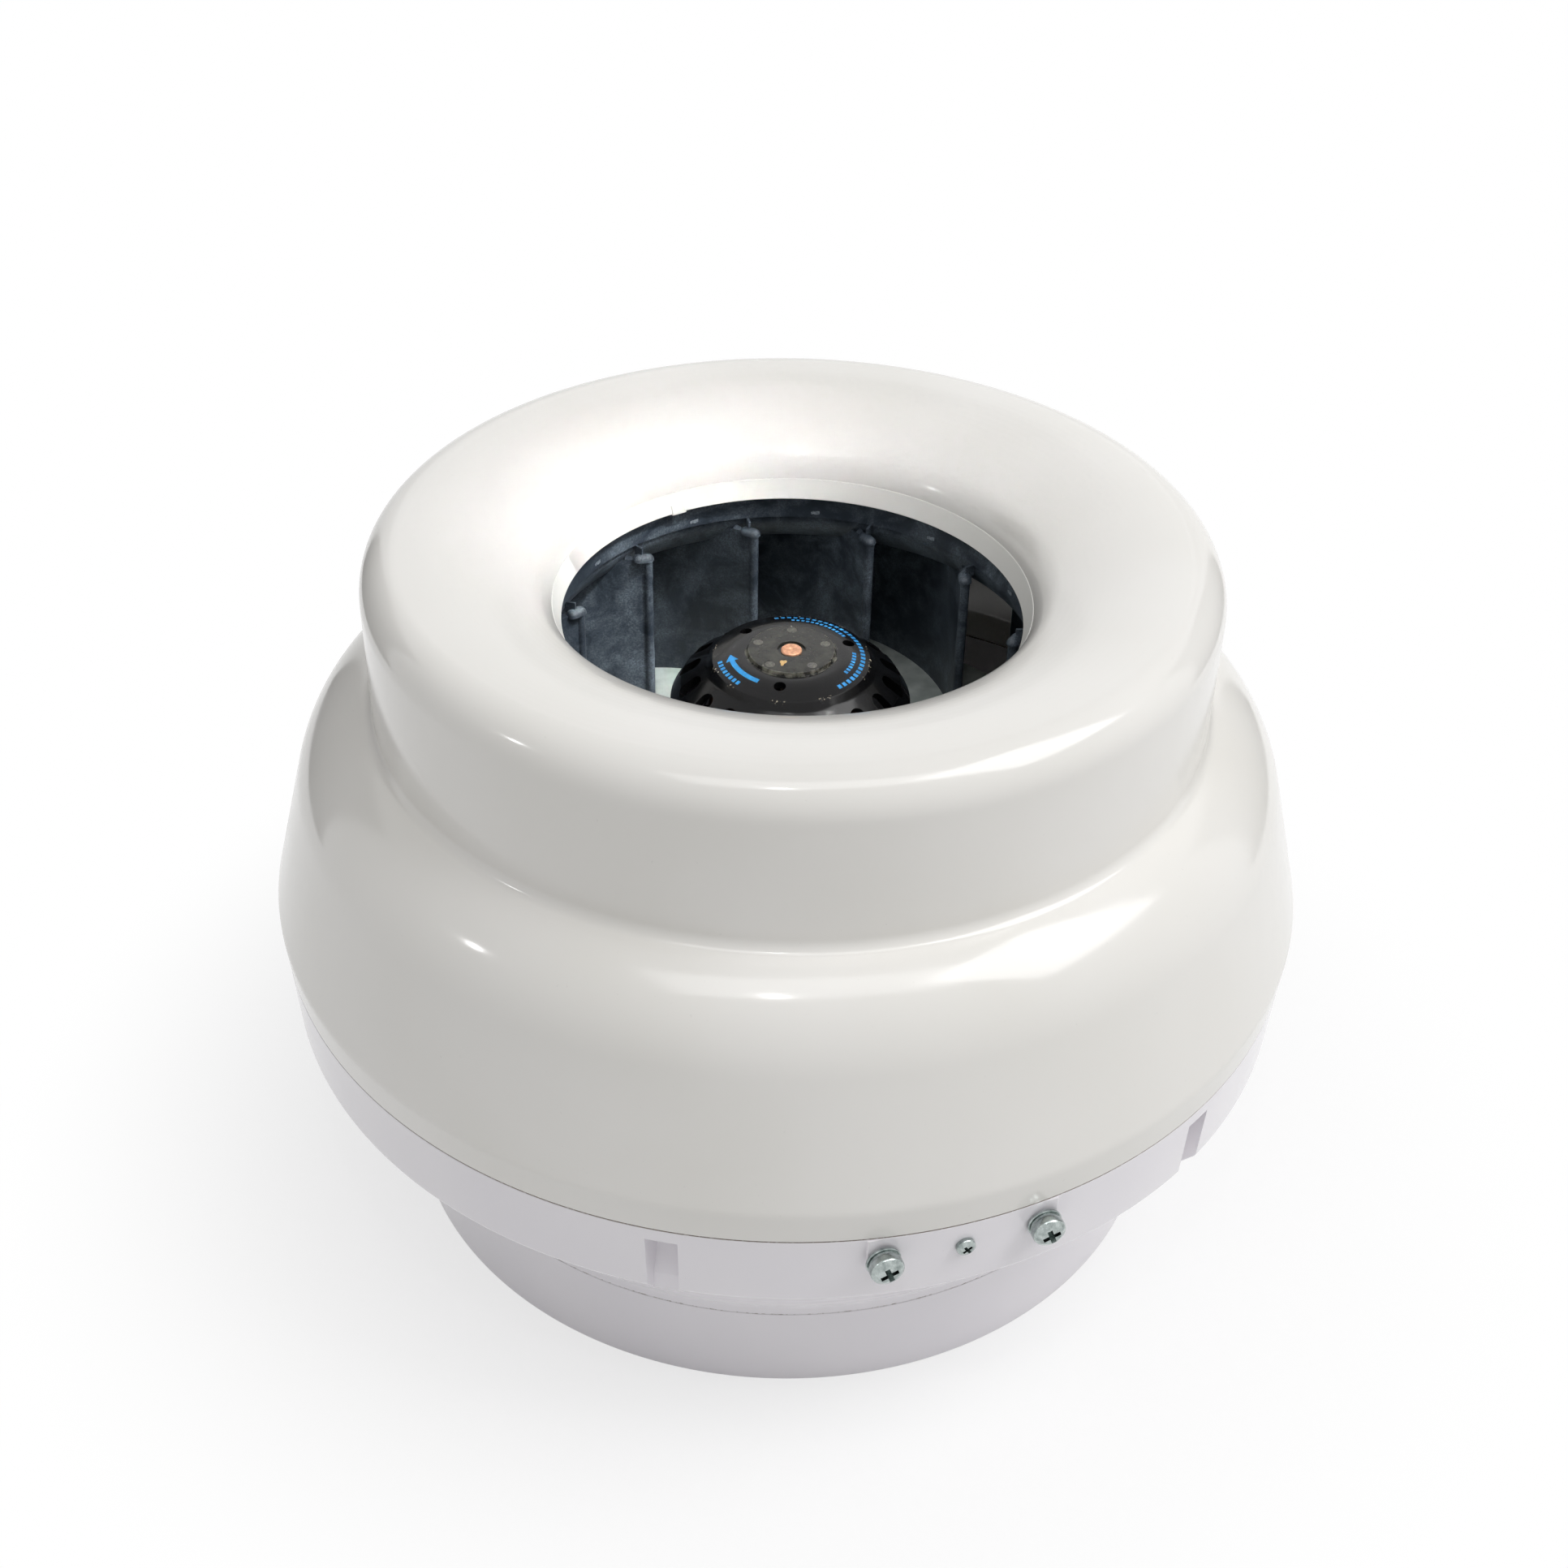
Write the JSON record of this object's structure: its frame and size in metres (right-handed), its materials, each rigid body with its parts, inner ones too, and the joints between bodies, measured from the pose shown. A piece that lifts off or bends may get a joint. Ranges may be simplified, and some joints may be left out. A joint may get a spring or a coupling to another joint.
{
  "type": "inline duct fan",
  "caption": "White plastic inline centrifugal duct fan: round casing, bellmouth inlet, outlet spigot, backward-curved impeller on an external-rotor motor, guide vanes and terminal box.",
  "frame": {"origin": "centre of the outlet spigot's end face, which the fan stands on", "axes": "+Z along the air path from outlet to inlet, -Y towards the bracket screws, +Y towards the terminal box"},
  "size_m": [0.402, 0.4204, 0.28],
  "materials": {
    "casing_plastic": "glossy white injection-moulded plastic",
    "nozzle_plastic": "white plastic ring",
    "impeller_plastic": "blue-black glass-filled plastic with dust",
    "galvanised_steel": "galvanised sheet",
    "black_paint": "semi-gloss black paint",
    "die_cast": "die-cast aluminium",
    "lamination": "electrical steel sheets",
    "winding_copper": "enamelled copper wire",
    "bearing_steel": "ground bearing steel",
    "shaft_steel": "turned steel with rust bloom",
    "zinc_screw": "blue zinc plating",
    "box_plastic": "white plastic",
    "dark_plastic": "black plastic",
    "grey_nylon": "grey nylon",
    "seal_rubber": "black rubber"
  },
  "bodies": {
    "casing": {"upper_shell": "casing_plastic", "lower_shell": "casing_plastic", "outlet_spigot": "casing_plastic", "inlet_nozzle": "nozzle_plastic", "guide_vanes": "casing_plastic", "motor_base": "die_cast", "bearing_outer_rings": "bearing_steel", "stator_core": "lamination", "stator_windings": "winding_copper", "motor_screws": "zinc_screw", "bracket_screws": "zinc_screw", "bracket_washers": "zinc_screw", "bracket_nuts": "zinc_screw", "shell_lock_screw": "zinc_screw", "terminal_box": "box_plastic", "terminal_box_lid": "box_plastic", "terminal_box_gasket": "seal_rubber", "lid_screws": "zinc_screw", "terminal_block": "dark_plastic", "run_capacitor": "grey_nylon", "gland_body": "dark_plastic", "gland_locknut": "dark_plastic", "gland_nut": "dark_plastic", "gland_seal": "seal_rubber"},
    "rotor": {"rotor_cup": "black_paint", "rotor_cage": "lamination", "rotor_shaft": "shaft_steel", "bearing_inner_rings": "bearing_steel", "impeller_back_plate": "galvanised_steel", "impeller_wheel": "impeller_plastic", "impeller_rivets": "zinc_screw"}
  },
  "joints": [
    {"name": "rotor_spin", "type": "hinge", "parent": "casing", "child": "rotor", "pos_m": [0, 0, 0.16], "axis": [0, 0, -1], "continuous": true}
  ]
}
